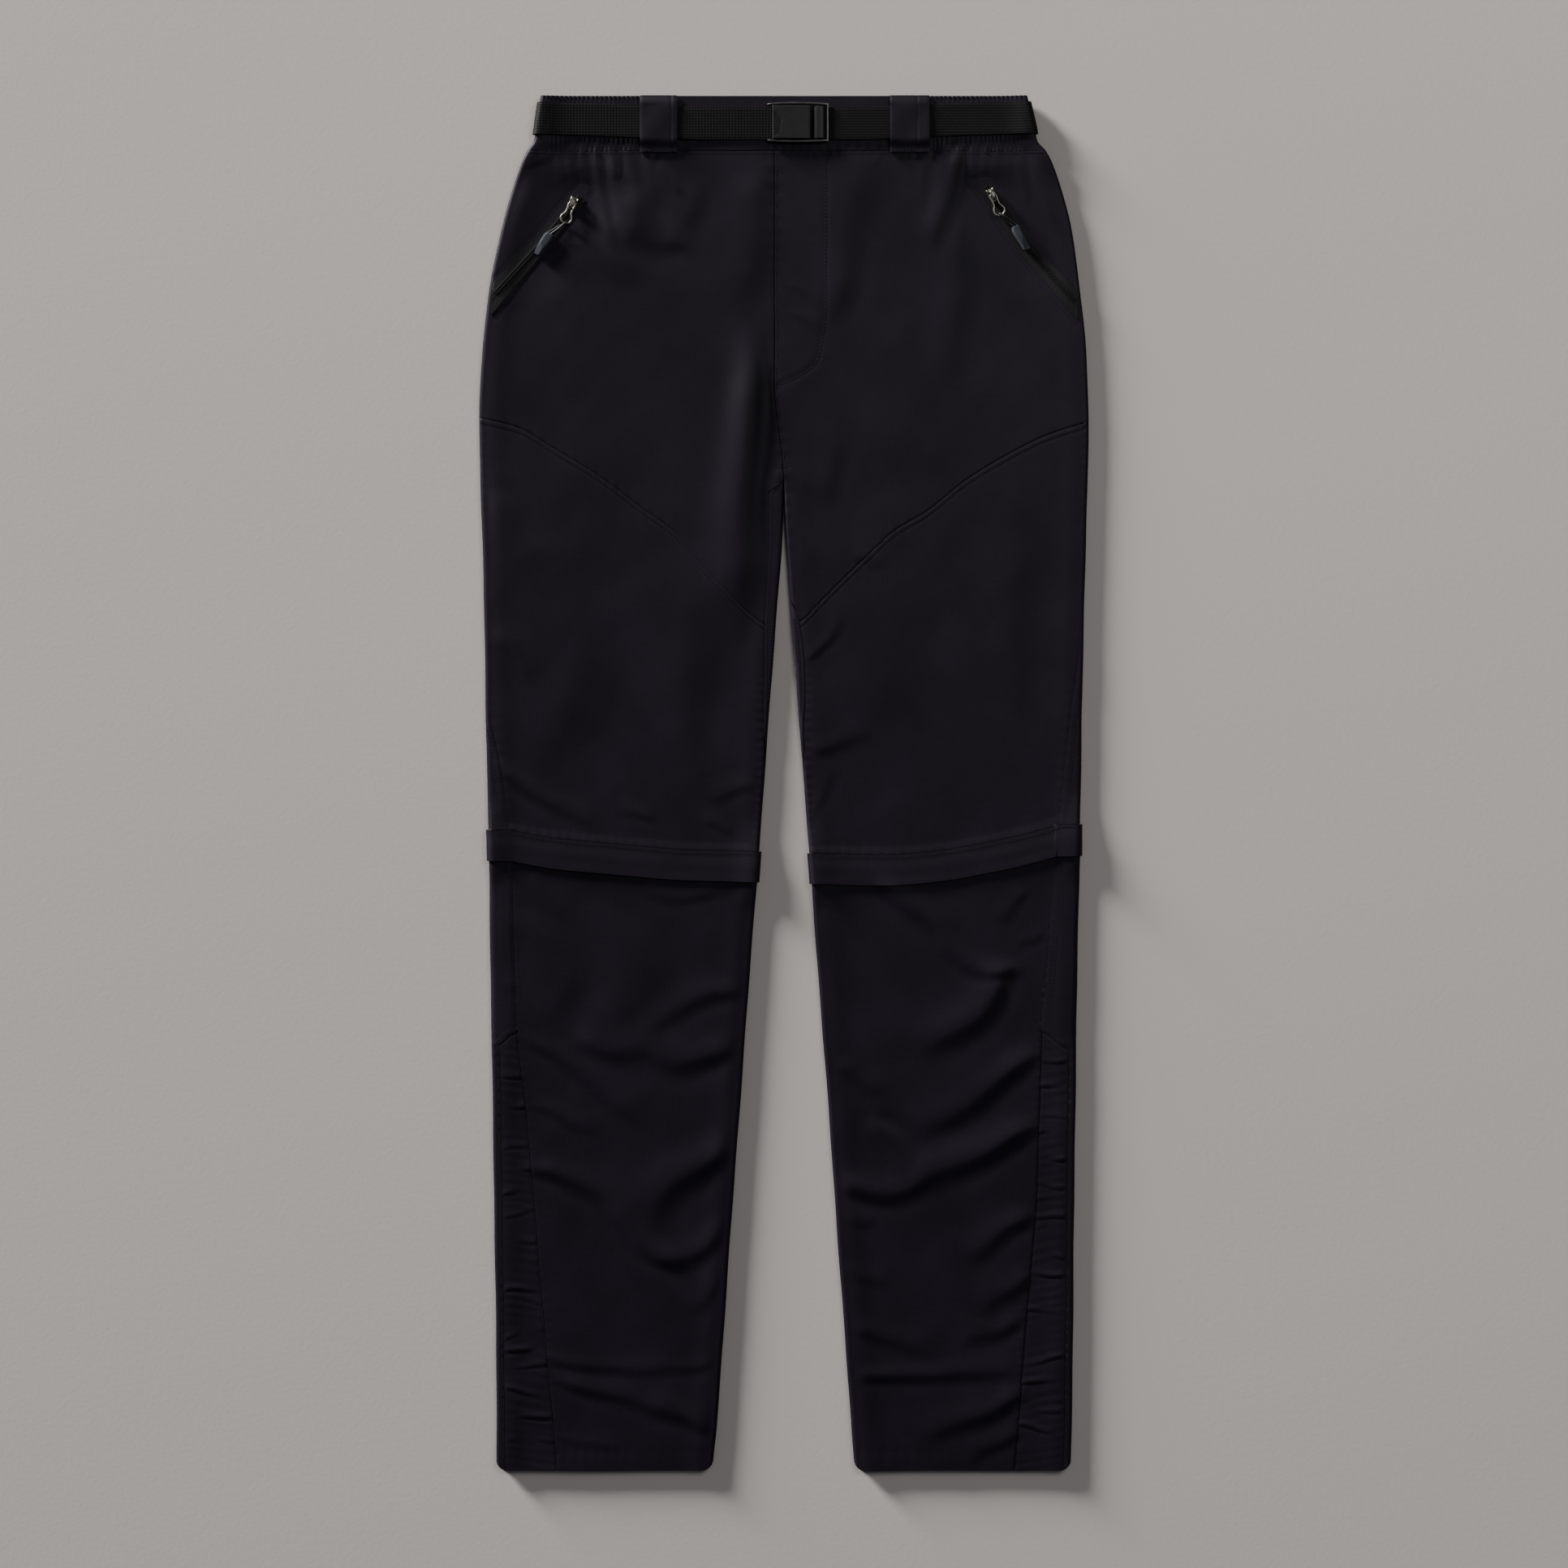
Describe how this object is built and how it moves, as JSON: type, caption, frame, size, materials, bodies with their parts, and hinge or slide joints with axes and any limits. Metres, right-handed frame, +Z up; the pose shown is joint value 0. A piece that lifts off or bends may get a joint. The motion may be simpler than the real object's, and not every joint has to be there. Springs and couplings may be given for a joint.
{
  "type": "convertible zip-off trousers",
  "caption": "Zip-off trousers in dark nylon laid flat, with webbing belt and buckle, slanted zip pockets, knee flaps over the zip-off seam and gathered ankle gussets.",
  "frame": {"origin": "on the surface it lies on, under the middle of its bounding box", "axes": "+Y from the hems towards the waistband, +Z up from the surface, +X to the right as seen from above"},
  "size_m": [0.4812, 1.0849, 0.0116],
  "materials": {
    "cloth": "plain weave nylon with a soft sheen",
    "webbing": "ribbed webbing",
    "zip_tape": "woven zip tape with a coil",
    "metal": "antique silver, satin",
    "buckle_plate": "satin with a ribbed patch",
    "pull_rubber": "matt"
  },
  "bodies": {
    "trousers": {"ankle_gusset_left": "cloth", "ankle_gusset_right": "cloth", "ankle_zip_left": "zip_tape", "ankle_zip_right": "zip_tape", "back_calf_left": "cloth", "back_calf_right": "cloth", "back_thigh_left": "cloth", "back_thigh_right": "cloth", "belt": "webbing", "belt_tunnel_left": "cloth", "belt_tunnel_right": "cloth", "buckle_bar": "buckle_plate", "buckle_frame": "metal", "buckle_plate": "buckle_plate", "front_shin_left": "cloth", "front_shin_right": "cloth", "front_thigh_left": "cloth", "front_thigh_right": "cloth", "front_upper_left": "cloth", "front_upper_right": "cloth", "knee_flap_back_left": "cloth", "knee_flap_back_right": "cloth", "knee_flap_front_left": "cloth", "knee_flap_front_right": "cloth", "knee_zip_back_left": "zip_tape", "knee_zip_back_right": "zip_tape", "knee_zip_front_left": "zip_tape", "knee_zip_front_right": "zip_tape", "pocket_zip_left": "zip_tape", "pocket_zip_right": "zip_tape", "slider_left": "metal", "slider_right": "metal", "waistband_back": "cloth", "waistband_front_left": "cloth", "waistband_front_right": "cloth"},
    "pull_left": {"puller_left": "metal", "pull_cord_left": "pull_rubber", "pull_tab_left": "pull_rubber"},
    "pull_right": {"puller_right": "metal", "pull_cord_right": "pull_rubber", "pull_tab_right": "pull_rubber"}
  },
  "joints": [
    {"name": "pull_left_flip", "type": "hinge", "parent": "trousers", "child": "pull_left", "pos_m": [-0.1667, 0.4571, 0.00805], "axis": [-0.9206, 0.3904, 0], "range_deg": [0, 150]},
    {"name": "pull_right_flip", "type": "hinge", "parent": "trousers", "child": "pull_right", "pos_m": [0.1642, 0.4638, 0.00844], "axis": [-0.9147, -0.4041, 0], "range_deg": [0, 150]}
  ]
}
